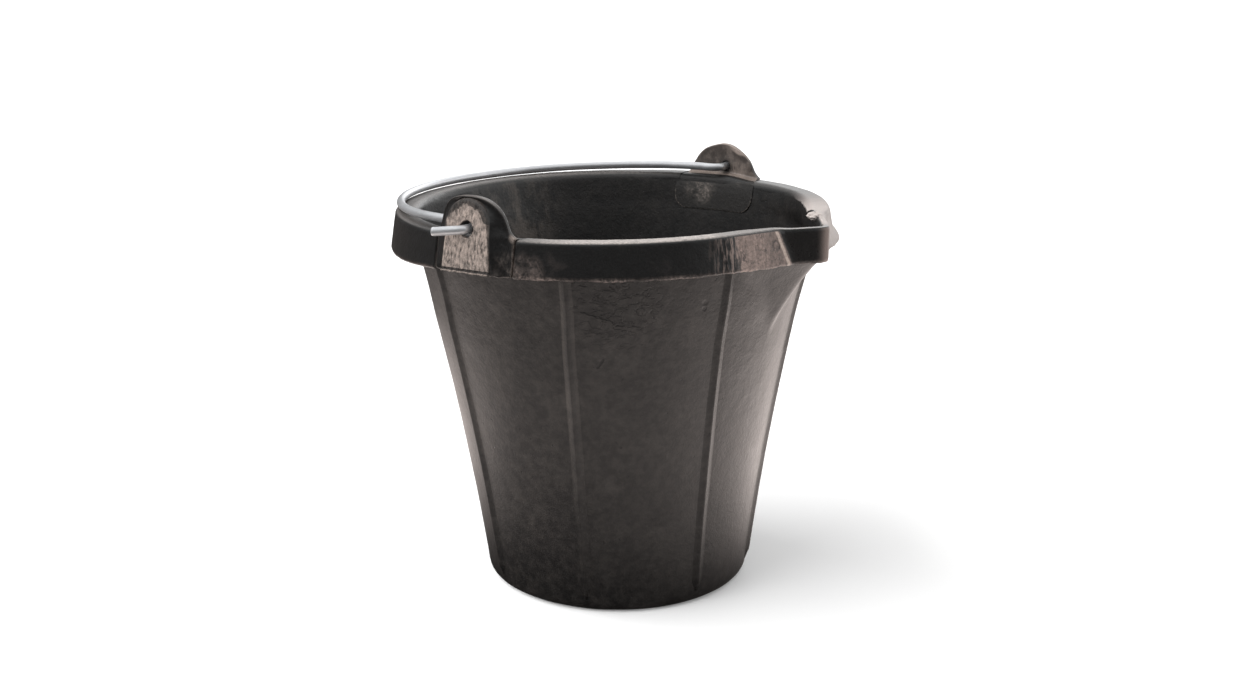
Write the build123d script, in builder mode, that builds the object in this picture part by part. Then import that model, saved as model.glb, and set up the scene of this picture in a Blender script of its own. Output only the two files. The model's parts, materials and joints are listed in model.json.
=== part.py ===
from build123d import *
import os
from math import atan2, cos, degrees, hypot, radians, sin, sqrt

# Builders bucket of black rubber with a pouring spout, two ears and a bail of galvanised wire.
# Millimetres, +Z up. The origin is on the floor, at the middle of the foot ring. The spout points
# along +X, the ears stand on the Y axis with the front one at -Y, and the bail lies on the -X rim.
# The mouth climbs towards the spout, so whatever belongs to the rim is drawn on the mouth's plane.

# Wall and floor
mouth_height = 281.0
mouth_climb = 1.2  # degrees
foot_radius = 98.5
wall_rim_radius = 150.0
wall_bow = 6.0  # how far the wall's line hangs inside a straight cone, midway up
wall_foot_thickness = 5.0
wall_rim_thickness = 7.5
floor_thickness = 8.0
foot_corner = 8.0
floor_corner = 10.0
foot_ring_width = 20.5
foot_recess = 3.0
mouth_edge = 2.2
mouth_trim = 20.0  # rubber that stands above the mouth until it is trimmed off

# Ribs on the outside of the wall
rib_count = 8
rib_radius = 4.0
rib_height = 2.0
rib_foot = 14.0

# Band around the rim
band_height = 24.0
band_thickness = 8.0
band_flare = 4.3
band_edge = 2.5
seam = 0.4

# Spout: a beak with straight flanks and a round tip, drawn from the rim's nose inwards
spout_spread = 55.0  # degrees, from the spout's middle line to each flank
spout_depth = 90.0
spout_wall = 4.5
spout_rake = 6.0  # how far the tip draws back from the mouth to the foot of the band
spout_bury = 42.0  # from the tip back to the flat root, which lies inside the wall
channel_tip_radius = 1.5
apex_tip_radius = 1.0
apex_bury = 2.0  # depth below the wall's face at which the bulge dies out
nose_reach = 16.0  # how far the nose stands out from the band
nose_wall = 5.0
nose_tip_radius = 7.0

# Ears, seen from outside: a bell-shaped tab with a narrower boss proud of it
ear_half_width = 32.0
ear_shoulder = 6.0  # flat step on either side, between the arch and the band
ear_set_back = 4.0  # ledge between the wall's outer face and the tab's inner face
ear_top = 25.5
ear_flare = 5.0
ear_lean = 8.0  # degrees
ear_edge = 2.0
ear_hole_height = 6.0
ear_hole_play = 4.0
boss_lip = 1.0  # how far the tab's arch stands above the boss
boss_radius = 18.0
boss_foot_half_width = 20.3
boss_proud = 9.5
boss_overrun = 1.3  # by which the boss's root outgrows the tab that trims it

# Patches let into the wall inside, behind the ears
patch_width = 72.0
patch_depth = 27.0
patch_rim_gap = 4.0
patch_corner = 12.0
patch_let_in = 1.2
patch_proud = 0.5

# Bail
wire_diameter = 6.0
bail_overhang = 3.0  # how far the middle of the wire hangs out past the band
bail_side_gap = 3.0
bail_bend = 9.0
bail_clearance = 0.4
tail_bend = 8.0
tail_turn = 60.0  # degrees
tail_length = 16.0
tail_inset = 1.0

os.makedirs("parts", exist_ok=True)

climb = radians(mouth_climb)
lean = radians(ear_lean)
spread = radians(spout_spread)
wire_radius = wire_diameter / 2
hinge_height = mouth_height + ear_hole_height
band_top_radius = wall_rim_radius + band_thickness
nose_tip = band_top_radius + nose_reach
cut_reach = 3 * nose_tip  # longer than the bucket is wide

mouth_normal = Vector(-sin(climb), 0, cos(climb))
mouth = Plane(
    origin=Vector(0, 0, hinge_height) - mouth_normal * ear_hole_height,
    x_dir=(cos(climb), 0, sin(climb)),
    z_dir=mouth_normal,
)
mouth_axis = Axis(mouth.origin, mouth.z_dir)
band_foot = mouth.offset(-band_height)
# Looking at the front ear from outside: across is the mouth's X, up is the mouth's normal
front_view = Plane(origin=mouth.origin, x_dir=mouth.x_dir, z_dir=(0, -1, 0))


def wall_radius(height):
    """Outer radius of the wall at a height: a shallow curve that flares towards the mouth."""
    share = height / mouth_height
    return foot_radius + (wall_rim_radius - foot_radius) * share - 4 * wall_bow * share * (1 - share)


def inner_radius(height):
    """Inner radius of the wall at a height; the wall thickens steadily from foot to rim."""
    share = height / mouth_height
    thickness = wall_foot_thickness + (wall_rim_thickness - wall_foot_thickness) * share
    return wall_radius(height) - thickness


def wall_curve(radius_at, low, high, shift=0.0):
    """Three points (radius, height) of a wall line between two heights, moved out by shift."""
    return [(radius_at(height) + shift, height) for height in (low, (low + high) / 2, high)]


def beak(tip_x, tip_radius):
    """Draws the spout's plan: two straight flanks, tangent to a round tip, on a flat root."""
    root_x = tip_x - spout_bury
    centre_x = tip_x - tip_radius
    root_y = (tip_radius + (centre_x - root_x) * sin(spread)) / cos(spread)
    touch = (centre_x + tip_radius * sin(spread), tip_radius * cos(spread))
    with BuildLine() as outline:
        Polyline(touch, (root_x, root_y), (root_x, -root_y), (touch[0], -touch[1]))
        ThreePointArc((touch[0], -touch[1]), (tip_x, 0), touch)
    make_face(outline.edges())


# Outer form of the wall with the spout's bulge, solid, trimmed at the mouth
trim_top = mouth_height + mouth_trim
spout_tip_radius = channel_tip_radius + spout_wall
spout_mouth_tip = nose_tip - nose_wall
spout_foot_tip = spout_mouth_tip - spout_rake
spout_apex = mouth.offset(-spout_depth)
apex_height = mouth_height - spout_depth
apex_shift = spout_depth * sin(climb) + apex_bury
with BuildPart() as outer_form:
    with BuildSketch(Plane.XZ) as outer_section:
        with BuildLine():
            outer_line = ThreePointArc(*wall_curve(wall_radius, 0, trim_top))
            Polyline(outer_line @ 1, (0, trim_top), (0, 0), outer_line @ 0)
        make_face()
        foot_vertex = outer_section.vertices().group_by(Axis.Y)[0].sort_by(Axis.X)[-1]
        fillet(foot_vertex, foot_corner)
    revolve(axis=Axis.Z)
    with BuildSketch(spout_apex):
        beak(wall_radius(apex_height) - apex_shift, apex_tip_radius)
    with BuildSketch(band_foot):
        beak(spout_foot_tip, spout_tip_radius)
    with BuildSketch(mouth):
        beak(spout_mouth_tip, spout_tip_radius)
    loft(ruled=True)
    split(bisect_by=mouth, keep=Keep.BOTTOM)

# Ribs: half-round ridges that run down the wall from the foot of the band, midway round the ears
rib_sink = rib_radius - rib_height
with BuildPart() as rib:
    with BuildLine(Plane.XZ) as rib_path:
        ThreePointArc(*wall_curve(wall_radius, rib_foot, mouth_height, -rib_sink))
    with BuildSketch(Plane(origin=rib_path.line @ 0, z_dir=rib_path.line % 0)):
        Circle(rib_radius)
    sweep()
    with Locations(rib_path.line @ 0):
        Sphere(rib_radius)
with BuildPart() as ribs:
    with PolarLocations(0, rib_count, start_angle=180 / rib_count):
        add(rib.part)
    split(bisect_by=band_foot, keep=Keep.BOTTOM)

# Patches: thin curved plies, let into the inner wall below each ear
patch_low = mouth_height - patch_depth - mouth_trim
with BuildPart() as front_ear_patch:
    with BuildSketch(Plane.XZ):
        with BuildLine():
            patch_back = ThreePointArc(*wall_curve(inner_radius, patch_low, trim_top, patch_let_in))
            patch_face = ThreePointArc(*wall_curve(inner_radius, patch_low, trim_top, -patch_proud))
            Line(patch_back @ 0, patch_face @ 0)
            Line(patch_back @ 1, patch_face @ 1)
        make_face()
    revolve(axis=Axis.Z)
    with BuildSketch(front_view) as patch_outline:
        with Locations((0, -patch_rim_gap)):
            Rectangle(patch_width, patch_depth - patch_rim_gap, align=(Align.CENTER, Align.MAX))
        fillet(patch_outline.vertices().group_by(Axis.Y)[0], patch_corner)
    extrude(amount=cut_reach, mode=Mode.INTERSECT)
with BuildPart() as rear_ear_patch:
    mirror(front_ear_patch.part, about=Plane.XZ)

# Body: wall, floor, ribs and spout in one moulding, hollowed out
with BuildPart() as bucket_body:
    add(outer_form.part)
    add(ribs.part)
    with BuildSketch(Plane.XZ) as cavity_section:
        with BuildLine():
            cavity_line = ThreePointArc(*wall_curve(inner_radius, floor_thickness, trim_top))
            Polyline(cavity_line @ 1, (0, trim_top), (0, floor_thickness), cavity_line @ 0)
        make_face()
        floor_vertex = cavity_section.vertices().group_by(Axis.Y)[0].sort_by(Axis.X)[-1]
        fillet(floor_vertex, floor_corner)
    revolve(axis=Axis.Z, mode=Mode.SUBTRACT)
    with BuildSketch(spout_apex):
        beak(inner_radius(apex_height) - apex_shift, apex_tip_radius)
    with BuildSketch(band_foot):
        beak(spout_foot_tip - spout_wall, channel_tip_radius)
    with BuildSketch(mouth):
        beak(spout_mouth_tip - spout_wall, channel_tip_radius)
    loft(ruled=True, mode=Mode.SUBTRACT)
    with BuildSketch(Plane.XY):
        Circle(foot_radius - foot_ring_width)
    extrude(amount=foot_recess, mode=Mode.SUBTRACT)
    rim_face = bucket_body.faces().filter_by(GeomType.PLANE).sort_by(Axis.Z)[-1]
    fillet(rim_face.inner_wires()[0].edges(), min(mouth_edge, spout_wall / 2))
    add(front_ear_patch.part, mode=Mode.SUBTRACT)
    add(rear_ear_patch.part, mode=Mode.SUBTRACT)

# Rim band: a thick strip round the outside of the mouth, drawn out into the spout's nose
with BuildPart() as nose:
    with BuildSketch(band_foot):
        beak(nose_tip, nose_tip_radius)
    with BuildSketch(mouth):
        beak(nose_tip, nose_tip_radius)
    loft(ruled=True)
    nose_ends = nose.faces().sort_by(Axis.Z)
    nose_rims = nose_ends[0].edges() + nose_ends[-1].edges()
    fillet(nose_rims.filter_by(Axis.Y, reverse=True), band_edge)
with BuildPart() as rim_band:
    with BuildSketch(front_view) as band_section:
        with BuildLine():
            Polyline(
                (band_top_radius + band_flare, -band_height),
                (band_top_radius, 0),
                (foot_radius, 0),
                (foot_radius, -band_height),
                close=True,
            )
        make_face()
        fillet(band_section.vertices().sort_by(Axis.X)[-2:], band_edge)
    revolve(axis=mouth_axis)
    add(nose.part)
    add(outer_form.part, mode=Mode.SUBTRACT)
    with BuildSketch(band_foot):
        Rectangle(2 * (ear_half_width + seam), cut_reach)
    extrude(amount=band_height, mode=Mode.SUBTRACT)
with BuildPart() as rim_band_spout_side:
    add(rim_band.part)
    split(bisect_by=Plane.YZ, keep=Keep.TOP)
with BuildPart() as rim_band_bail_side:
    add(rim_band.part)
    split(bisect_by=Plane.YZ, keep=Keep.BOTTOM)

# Ears: each fills the gap between the strips' ends and stands up over the rim. The boss's flanks
# run down to a root plane that meets the band's top edge where the strips end.
boss_draft = ear_half_width + boss_overrun - boss_foot_half_width
boss_arch_height = ear_top - boss_lip - boss_radius
boss_splay = (boss_foot_half_width - boss_radius) / (boss_arch_height + band_height)
ear_root_radius = sqrt(band_top_radius**2 - ear_half_width**2)
ear_root = front_view.offset(ear_root_radius).rotated((-ear_lean, 0, 0))
ear_face = ear_root.offset(boss_proud)


def boss_outline(growth):
    """Draws an ear's boss from outside: an arch on slightly splayed sides, widened by growth."""
    arch = boss_radius + growth
    foot_height = -band_height - boss_draft
    foot = arch + boss_splay * (boss_arch_height - foot_height)
    with BuildLine() as outline:
        Polyline(
            (-arch, boss_arch_height),
            (-foot, foot_height),
            (foot, foot_height),
            (arch, boss_arch_height),
        )
        ThreePointArc((arch, boss_arch_height), (0, boss_arch_height + arch), (-arch, boss_arch_height))
    make_face(outline.edges())


arch_half_width = ear_half_width - ear_shoulder
with BuildPart() as front_ear:
    with BuildSketch(ear_root):
        boss_outline(boss_draft)
    with BuildSketch(ear_face):
        boss_outline(0)
    loft(ruled=True)
    with BuildSketch(ear_root):
        boss_outline(boss_draft)
    extrude(amount=foot_radius - ear_root_radius)
    boss_face = front_ear.faces().sort_by(Axis(ear_root.origin, ear_root.z_dir))[-1]
    fillet(boss_face.edges(), ear_edge)
    with BuildSketch(front_view) as tab_outline:
        with BuildLine():
            Polyline(
                (-arch_half_width, 0),
                (-ear_half_width, 0),
                (-ear_half_width, -band_height),
                (ear_half_width, -band_height),
                (ear_half_width, 0),
                (arch_half_width, 0),
            )
            ThreePointArc((arch_half_width, 0), (0, ear_top), (-arch_half_width, 0))
        make_face()
        arch_feet = tab_outline.vertices().group_by(Axis.Y)[-1].sort_by(Axis.X)[1:-1]
        fillet(arch_feet, min(ear_flare, ear_shoulder - seam))
    extrude(amount=cut_reach, mode=Mode.INTERSECT)
    add(outer_form.part, mode=Mode.SUBTRACT)
    with BuildSketch(mouth):
        Circle(wall_rim_radius + ear_set_back)
    extrude(amount=cut_reach, mode=Mode.SUBTRACT)
    with BuildSketch(front_view):
        with Locations((0, ear_hole_height)):
            Circle((wire_diameter + ear_hole_play) / 2)
    extrude(amount=cut_reach, mode=Mode.SUBTRACT)
with BuildPart() as rear_ear:
    mirror(front_ear.part, about=Plane.XZ)

# Bail: one bent wire. It drops until the first point of its bow comes to the rounded rim.
bail_radius = wall_rim_radius - bail_side_gap - wire_radius
bail_reach = band_top_radius + bail_overhang
bail_centre = bail_reach - bail_radius
rounding = band_edge + wire_radius + bail_clearance
touch_turns = range(60)  # degrees along the bow, from its far end, that may come to the rim first


def drop_to_rim(turn):
    """Slope at which one point of the bow, given by its turn from the far end, meets the rim."""
    along = bail_centre + bail_radius * cos(turn)
    beyond = max(0.0, hypot(along, bail_radius * sin(turn)) - (band_top_radius - band_edge))
    height = sqrt(max(0.0, rounding**2 - beyond**2)) - band_edge
    return atan2(ear_hole_height - height, along)


bail_slope = climb + min(drop_to_rim(radians(turn)) for turn in touch_turns)
bail_plane = Plane(
    origin=(0, 0, hinge_height),
    x_dir=(-cos(bail_slope), 0, -sin(bail_slope)),
    z_dir=(-sin(bail_slope), 0, cos(bail_slope)),
)
bend_y = sqrt((bail_radius + bail_bend) ** 2 - (bail_centre - bail_bend) ** 2)
bow_lean = degrees(atan2(bail_centre - bail_bend, bend_y))
face_y = ear_root_radius + boss_proud / cos(lean) - ear_hole_height * sin(lean)
tail_y = face_y - tail_inset
with BuildPart() as bail:
    with BuildLine(bail_plane) as bail_path:
        CenterArc((bail_centre, 0), bail_radius, 0, 90 + bow_lean)
        CenterArc((bail_bend, bend_y), bail_bend, 180, 90 + bow_lean)
        Line((0, bend_y), (0, tail_y))
        tail_arc = CenterArc((tail_bend, tail_y), tail_bend, 180, -tail_turn)
        Line(tail_arc @ 1, tail_arc @ 1 + (tail_arc % 1) * tail_length)
        mirror(about=Plane.XZ)
    bail_wire = bail_path.wires()[0]
    with BuildSketch(Plane(origin=bail_wire @ 0, z_dir=bail_wire % 0)):
        Circle(wire_radius)
    sweep(path=bail_wire)

pieces = {
    "bucket_body": bucket_body,
    "rim_band_spout_side": rim_band_spout_side,
    "rim_band_bail_side": rim_band_bail_side,
    "front_ear": front_ear,
    "rear_ear": rear_ear,
    "front_ear_patch": front_ear_patch,
    "rear_ear_patch": rear_ear_patch,
    "bail": bail,
}
for name, piece in pieces.items():
    piece.part.label = name
    export_step(piece.part, f"parts/{name}.step")
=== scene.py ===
import json
from functools import partialmethod
from math import cos, pi, radians, sin, tan

import bmesh
import bpy
import numpy as np
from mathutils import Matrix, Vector, noise


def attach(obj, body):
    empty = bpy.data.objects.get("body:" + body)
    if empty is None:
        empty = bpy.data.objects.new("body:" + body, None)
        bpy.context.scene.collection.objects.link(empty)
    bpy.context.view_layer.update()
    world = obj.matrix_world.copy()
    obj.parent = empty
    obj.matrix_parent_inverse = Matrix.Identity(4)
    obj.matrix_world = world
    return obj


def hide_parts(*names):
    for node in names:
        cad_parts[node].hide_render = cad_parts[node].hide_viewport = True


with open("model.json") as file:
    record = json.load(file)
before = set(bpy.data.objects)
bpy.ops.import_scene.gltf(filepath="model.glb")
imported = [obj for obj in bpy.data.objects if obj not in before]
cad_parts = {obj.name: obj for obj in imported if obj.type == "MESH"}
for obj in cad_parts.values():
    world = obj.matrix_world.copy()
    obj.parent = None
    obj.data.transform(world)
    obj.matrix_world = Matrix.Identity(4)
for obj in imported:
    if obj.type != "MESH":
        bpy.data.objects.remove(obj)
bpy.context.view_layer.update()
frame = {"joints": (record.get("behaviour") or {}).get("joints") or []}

# Cup: wall, floor, ribs and the bulge under the spout, one moulding of black recycled rubber.
# The wall flares on a shallow curve, the foot is a flat ring round a recess, and eight pinched ribs
# run from the foot up to the rim band. The soft cup stands a little askew under its rim.

mouth_height = 0.281
mouth_climb = tan(radians(1.2))
mouth_sag = 0.0024
rim_radius = 0.150
rim_thickness = 0.0075
rim_drop = 0.0004
rim_rounding = 0.006
wall_bow = 0.0044
foot_radius = 0.0982
foot_thickness = 0.005
foot_corner = 0.008
foot_recess = 0.003
recess_radius = 0.078
floor_thickness = 0.008
floor_corner = 0.010
cup_edge = 0.001
cup_lumps = 0.0011
band_height = 0.024

askew = (0.815, 0.579)
foot_slip = 0.0020
wall_lean = 0.0031
wall_shoulder = 0.0011
far_rim = radians(35)
far_rim_reach = radians(17)
rim_slump = 0.0026
rim_draw = 0.020
rim_flare = 0.009
rim_droop = 0.0030

spout_spread = radians(55)
spout_square = pi / 2 - spout_spread
spout_foot_height = 0.191
spout_foot_flank = 0.1030
band_foot_flank = 0.1354
mouth_flank = 0.1405
spout_belly = 0.0045
spout_wall = 0.0045
spout_throat = 0.0024
spout_lip = 0.0007
spout_tip = 0.020
spout_blend = 0.002
bead_sharpness = 6e5

rib_count = 8
rib_half_width = 0.0052
rib_height = 0.0027
rib_foot = 0.010
rib_tuck = 0.002
rib_round = 0.015
rib_crest = 0.1225
rib_span = 0.885
rib_skirt = 0.001
rib_sink = 0.0012
rib_lean = radians(1.2)

cup_black = (0.0036, 0.0034, 0.0034, 1)
cup_dust_and_highlight = (0.075, 0.0625, 0.0535, 1)


class Flow:
    """One output of a node. Arithmetic on it adds Math nodes to the output's tree."""

    def __init__(self, tree, socket):
        self.tree = tree
        self.socket = socket

    def node(self, kind, inputs=None, settings=None, out=0):
        """Adds a node of any kind: its settings first, then the values or links of its sockets."""
        made = self.tree.nodes.new(kind)
        for name, value in (settings or {}).items():
            setattr(made, name, value)
        for key, value in (inputs or {}).items():
            if isinstance(value, Flow):
                self.tree.links.new(value.socket, made.inputs[key])
            else:
                made.inputs[key].default_value = value
        return Flow(self.tree, made.outputs[out])

    def also(self, out):
        """Another output of the same node."""
        return Flow(self.tree, self.socket.node.outputs[out])

    def math(self, operation, *values):
        """A Math node with this output as its first value."""
        return self.node("ShaderNodeMath", dict(enumerate((self, *values))), {"operation": operation})

    __add__ = __radd__ = partialmethod(math, "ADD")
    __sub__ = partialmethod(math, "SUBTRACT")
    __rsub__ = partialmethod(math, "MULTIPLY_ADD", -1)
    __mul__ = __rmul__ = partialmethod(math, "MULTIPLY")
    __truediv__ = partialmethod(math, "DIVIDE")
    __pow__ = partialmethod(math, "POWER")
    root = partialmethod(math, "SQRT")
    absolute = partialmethod(math, "ABSOLUTE")
    at_least = partialmethod(math, "MAXIMUM")
    at_most = partialmethod(math, "MINIMUM")

    def step(self, low, high):
        """0 below low, 1 above high and a smooth change between; falls if high is below low."""
        values = {"Value": self, "From Min": low, "From Max": high}
        return self.node("ShaderNodeMapRange", values, {"interpolation_type": "SMOOTHSTEP"})

    def between(self, start, full, fade, end):
        """1 from full to fade, falling to 0 at start and at end."""
        return self.step(start, full) * self.step(end, fade)

    def sweep(self, low, high):
        """As step, for an angle, with the limits in degrees."""
        return self.step(radians(low), radians(high))

    def arc(self, start, full, fade, end):
        """As between, for an angle, with the limits in degrees."""
        return self.sweep(start, full) * self.sweep(end, fade)

    def vector(self, operation, other, out=0):
        """Arithmetic with another vector; out is "Value" where the result is a number."""
        return self.node("ShaderNodeVectorMath", {0: self, 1: other}, {"operation": operation}, out)

    def along(self, way):
        """How far this vector points along a way."""
        return self.vector("DOT_PRODUCT", way, "Value")

    def noise(self, scale, detail=2, seed=0.0, roughness=0.5, stretch=(1, 1, 1)):
        """Noise about 0 to 1 at this place, with features of about 1 / scale metres."""
        place = self.vector("MULTIPLY", stretch)
        values = {"Vector": place, "W": seed, "Scale": scale, "Detail": detail, "Roughness": roughness}
        return self.node("ShaderNodeTexNoise", values, {"noise_dimensions": "4D"})

    def parts(self):
        """The X, Y and Z of a vector."""
        x = self.node("ShaderNodeSeparateXYZ", {0: self})
        return x, x.also(1), x.also(2)

    def colours(self, low, high):
        """A colour from low at 0 to high at 1."""
        values = {"Factor": self, 6: low, 7: high}
        return self.node("ShaderNodeMix", values, {"data_type": "RGBA"}, out=2)


def wall_radius(height):
    """Outer radius of the wall at a height."""
    share = height / mouth_height
    return foot_radius + (rim_radius - foot_radius) * share - 4 * wall_bow * share * (1 - share)


def inner_radius(height):
    """Radius of the wall's inner face at a height."""
    share = height / mouth_height
    return wall_radius(height) - foot_thickness - (rim_thickness - foot_thickness) * share


def rounded_line(corners, step, closed=False):
    """Points along a line through corners, each (radius, height, rounding, any further values)."""
    corners = [np.array(corner, float) for corner in corners]
    points = []
    for index, corner in enumerate(corners):
        before = corners[index - 1]
        after = corners[(index + 1) % len(corners)]
        rounding = corner[2]
        if rounding == 0 or (not closed and index in (0, len(corners) - 1)):
            points.append(corner)
            continue
        back = (before - corner) / np.hypot(*(before - corner)[:2])
        ahead = (after - corner) / np.hypot(*(after - corner)[:2])
        half = np.arccos(np.clip(back[:2] @ ahead[:2], -1, 1)) / 2
        reach = rounding / np.tan(half)
        start, end = corner + back * reach, corner + ahead * reach
        middle = corner[:2] + (back + ahead)[:2] / np.hypot(*(back + ahead)[:2]) * rounding / np.sin(half)
        turn = pi - 2 * half
        for share in np.linspace(0, 1, max(3, int(turn / radians(15)) + 2)):
            point = start + (end - start) * share
            swing = np.array([np.sin((1 - share) * turn), np.sin(share * turn)]) / np.sin(turn)
            point[:2] = middle + swing[0] * (start[:2] - middle) + swing[1] * (end[:2] - middle)
            points.append(point)
    if closed:
        points.append(points[0])
    line = [points[0]]
    for point in points[1:]:
        start = line[-1]
        count = max(1, int(np.ceil(np.hypot(*(point - start)[:2]) / step)))
        line.extend(start + (point - start) * share for share in np.linspace(0, 1, count + 1)[1:])
    return np.array(line[:-1] if closed else line)


def linked(name, data):
    """A new object in the scene, of a mesh, a lamp or a camera."""
    made = bpy.data.objects.new(name, data)
    bpy.context.scene.collection.objects.link(made)
    return made


def skin(name, grid, across=False, along=False, caps=False, values=None, material=None):
    """A smooth mesh object over a grid of points, closed across or along, or capped at its ends."""
    rows, columns = grid.shape[:2]
    index = np.arange(rows * columns).reshape(rows, columns)
    net = np.pad(index, ((0, along), (0, across)), "wrap")
    corners = (net[:-1, :-1], net[:-1, 1:], net[1:, 1:], net[1:, :-1])
    faces = np.stack(corners, axis=-1).reshape(-1, 4).tolist()
    if caps:
        faces += [index[0].tolist(), index[-1].tolist()]
    mesh = bpy.data.meshes.new(name)
    mesh.from_pydata(grid.reshape(-1, 3).tolist(), [], faces)
    for key, numbers in (values or {}).items():
        layer = mesh.attributes.new(key, "FLOAT", "POINT")
        layer.data.foreach_set("value", np.ascontiguousarray(numbers, dtype=np.float32).ravel())
    shape = bmesh.new()
    shape.from_mesh(mesh)
    bmesh.ops.remove_doubles(shape, verts=shape.verts, dist=1e-6)
    bmesh.ops.recalc_face_normals(shape, faces=shape.faces)
    shape.to_mesh(mesh)
    shape.free()
    mesh.shade_smooth()
    if material:
        mesh.materials.append(material)
    return linked(name, mesh)


def turned(line, turns):
    """A grid of points: every (radius, height) of the line at every turn about Z, a row to a turn."""
    flat = np.ones((len(turns), 1))
    return np.stack([line[:, 0] * np.cos(turns), line[:, 0] * np.sin(turns), flat * line[:, 1]], axis=-1)


def new_tree(name, sizes):
    """A geometry tree with an input for each named size: its incoming mesh and those inputs."""
    tree = bpy.data.node_groups.new(name, "GeometryNodeTree")
    tree.interface.new_socket("Geometry", in_out="INPUT", socket_type="NodeSocketGeometry")
    tree.interface.new_socket("Geometry", in_out="OUTPUT", socket_type="NodeSocketGeometry")
    for size in sizes:
        tree.interface.new_socket(size, in_out="INPUT", socket_type="NodeSocketFloat")
    start = tree.nodes.new("NodeGroupInput")
    return Flow(tree, start.outputs["Geometry"]), {size: Flow(tree, start.outputs[size]) for size in sizes}


def close_tree(geometry, material):
    """Ends a geometry tree with real meshes that carry the material."""
    plain = geometry.node("GeometryNodeRealizeInstances", {0: geometry})
    coated = plain.node("GeometryNodeSetMaterial", {"Geometry": plain, "Material": material})
    ending = geometry.tree.nodes.new("NodeGroupOutput")
    geometry.tree.links.new(coated.socket, ending.inputs["Geometry"])
    return geometry.tree


def moulded(piece, tree, sizes):
    """Runs a geometry tree on a piece with the sizes, and keeps the result as its plain mesh."""
    modifier = piece.modifiers.new(tree.name, "NODES")
    modifier.node_group = tree
    for item in tree.interface.items_tree:
        if item.in_out == "INPUT" and item.name in sizes:
            modifier[item.identifier] = sizes[item.name]
    seen = piece.evaluated_get(bpy.context.evaluated_depsgraph_get())
    piece.data = bpy.data.meshes.new_from_object(seen)
    piece.modifiers.remove(modifier)
    piece.data.shade_smooth()


def placed(geometry):
    """X, Y and Z of every point of a geometry."""
    return geometry.node("GeometryNodeInputPosition").parts()


def moved(geometry, x, y, z):
    """The geometry with every point at this place."""
    place = geometry.node("ShaderNodeCombineXYZ", {0: x, 1: y, 2: z})
    return geometry.node("GeometryNodeSetPosition", {"Geometry": geometry, "Position": place})


def carried(geometry, name):
    """A value that the points of a geometry carry under a name."""
    return geometry.node("GeometryNodeInputNamedAttribute", {"Name": name}, {"data_type": "FLOAT"})


def drawn_out(geometry, flank_at, start, end, blend, bead=0):
    """Draws a turned surface out to the spout's two flanks, with a bead in the crease beside them."""
    x, y, z = placed(geometry)
    inset = carried(geometry, "inset")
    radius = (x * x + y * y).root().at_least(1e-6)
    turn = y.math("ARCTAN2", x).absolute().at_most(spout_square)
    side = turn.math("SINE")
    soft_side = (side * side + spout_tip ** 2).root()
    beak = (flank_at(z) - inset) / (turn.math("COSINE") * sin(spout_spread) + soft_side * cos(spout_spread))
    gap = radius - beak
    outer = (radius + beak + (gap * gap + blend ** 2).root()) / 2
    if bead:
        outer = outer + (gap * gap * -bead_sharpness).math("EXPONENT") * inset.step(0.001, 0) * bead
    grown = 1 + (outer / radius - 1) * z.step(start, end)
    return moved(geometry, x * grown, y * grown, z)


def tilted(geometry, climb, sag):
    """Lets the mouth climb towards the spout, the spout hang and the rim's far side slump inwards."""
    x, y, z = placed(geometry)
    share = z / mouth_height
    turn = y.math("ARCTAN2", x)
    aside = (turn - far_rim) / far_rim_reach
    far_side = (aside * aside * -1).math("EXPONENT")
    inwards = z.step(0.2595, 0.2675) * rim_draw - z.between(0.248, 0.254, 0.258, 0.264) * rim_flare
    drawn_in = 1 - far_side * inwards
    droop = far_side * z.between(0.244, 0.253, 0.258, 0.272) * rim_droop
    hang = (x.step(0.149, 0.160) * 0.55 + x.step(0.155, 0.176) * 0.45) * sag * share ** 4
    slump = turn.arc(10, 30, 77, 89) * z.step(0.260, mouth_height) * rim_slump
    return moved(geometry, x * drawn_in, y * drawn_in, z + x * climb * share * share - hang - slump - droop)


def uneven(geometry, depth, scale, seed, keep=None):
    """Pushes the surface in and out along its normals by noise."""
    place = geometry.node("GeometryNodeInputPosition")
    push = (place.noise(scale, 2, seed) - 0.5) * depth
    push = push * keep if keep else push
    normal = geometry.node("GeometryNodeInputNormal")
    offset = normal.node("ShaderNodeVectorMath", {0: normal, "Scale": push}, {"operation": "SCALE"})
    return geometry.node("GeometryNodeSetPosition", {"Geometry": geometry, "Offset": offset})


def cup_flank(height):
    """Distance of the spout's outer flanks from the middle line, at a height of the cup."""
    band_foot = mouth_height - band_height
    low = band_foot_flank - spout_foot_flank
    high = (mouth_flank - band_foot_flank - spout_belly) / band_height
    rise = ((height - spout_foot_height) / (band_foot - spout_foot_height)).at_most(1)
    belly = rise * rise * rise * rise * spout_belly
    return spout_foot_flank + rise * low + belly + (height - band_foot).at_least(0) * high


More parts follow.
